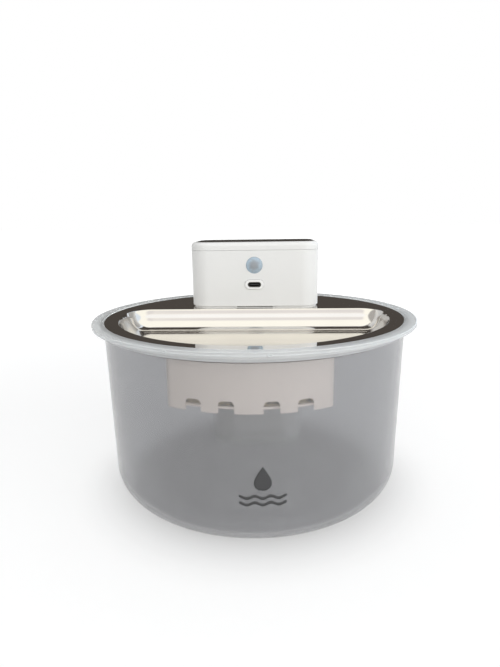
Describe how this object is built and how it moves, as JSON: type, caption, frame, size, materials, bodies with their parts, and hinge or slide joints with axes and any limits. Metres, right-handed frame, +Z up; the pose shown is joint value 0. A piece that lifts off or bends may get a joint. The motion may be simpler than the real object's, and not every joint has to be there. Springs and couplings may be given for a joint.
{
  "type": "pet water fountain",
  "caption": "Cordless pet drinking fountain: frosted round tank, steel tray with a D-shaped basin, lift-off head unit with pump, and a hanging filter box.",
  "frame": {"origin": "middle of the tank's underside, on the surface it stands on", "axes": "+Z up; the drinking basin faces -Y, the head unit stands at +Y; +X is the drinker's right"},
  "size_m": [0.21, 0.21, 0.1606],
  "materials": {
    "frosted_plastic": "frosted translucent, satin",
    "steel": "mirror polished stainless",
    "white_plastic": "satin white ABS",
    "filter_plastic": "satin white PP",
    "black_gloss": "high gloss black",
    "lens_plastic": "translucent lens",
    "clear_plastic": "clear light guide",
    "silicone": "soft translucent white",
    "cotton": "non-woven fleece",
    "granules": "black and pale granules",
    "sponge": "open-cell foam",
    "circuit_board": "green solder mask",
    "black_plastic": "moulded black",
    "pump_plastic": "moulded white",
    "cell_wrap": "blue shrink wrap",
    "nickel": "plated",
    "screw_steel": "zinc plated",
    "core_steel": "laminated",
    "copper": "enamelled wire",
    "ferrite": "sintered magnet",
    "ceramic": "ground ceramic",
    "lead_sheath": "black sheath",
    "lead_red": "wire insulation"
  },
  "bodies": {
    "tank": {"tank": "frosted_plastic"},
    "tray": {"drinking_tray": "steel"},
    "filter": {"filter_box": "filter_plastic", "filter_box_lid": "filter_plastic", "filter_seal": "silicone", "filter_cotton": "cotton", "filter_media": "granules"},
    "head": {"head_base": "white_plastic", "head_housing": "white_plastic", "head_cap": "white_plastic", "top_panel": "black_gloss", "base_gasket": "silicone", "housing_screws": "screw_steel", "spout": "white_plastic", "pir_lens": "lens_plastic", "pir_sensor": "nickel", "usb_bezel": "white_plastic", "usb_shell": "nickel", "usb_tongue": "black_plastic", "control_board": "circuit_board", "board_components": "black_plastic", "battery_cells": "cell_wrap", "cell_tabs": "nickel", "battery_cradle": "black_plastic", "battery_leads": "lead_red", "status_light_pipes": "clear_plastic", "status_leds": "clear_plastic", "button_switch": "black_plastic", "button_board": "circuit_board", "button_board_screws": "screw_steel", "pump_column": "pump_plastic", "column_screws": "screw_steel", "inlet_strainer": "pump_plastic", "inlet_sponge": "sponge", "pump_cover": "pump_plastic", "pump_housing": "pump_plastic", "stator_cap": "pump_plastic", "stator_core": "core_steel", "pump_coils": "copper", "impeller_shaft": "ceramic", "shaft_seats": "silicone", "delivery_tube": "silicone", "motor_lead": "lead_sheath", "lead_grommet": "silicone"},
    "button": {"mode_button": "black_gloss", "switch_plunger": "black_plastic"},
    "rotor": {"impeller": "pump_plastic", "rotor_magnet": "ferrite"}
  },
  "joints": [
    {"name": "tray_lift", "type": "slide", "parent": "tank", "child": "tray", "axis": [0, 0, 1], "range_m": [0, 0.12]},
    {"name": "head_lift", "type": "slide", "parent": "tray", "child": "head", "axis": [0, 0, 1], "range_m": [0, 0.12]},
    {"name": "filter_drop", "type": "slide", "parent": "tray", "child": "filter", "axis": [0, 0, -1], "range_m": [0, 0.03]},
    {"name": "mode_press", "type": "slide", "parent": "head", "child": "button", "axis": [0, 0, -1], "range_m": [0, 0.0006], "stiffness_N_per_m": 900, "springref_m": -0.0006},
    {"name": "impeller_spin", "type": "hinge", "parent": "head", "child": "rotor", "pos_m": [-0.014, 0.0508, 0.03], "axis": [0, 0, 1], "continuous": true}
  ]
}
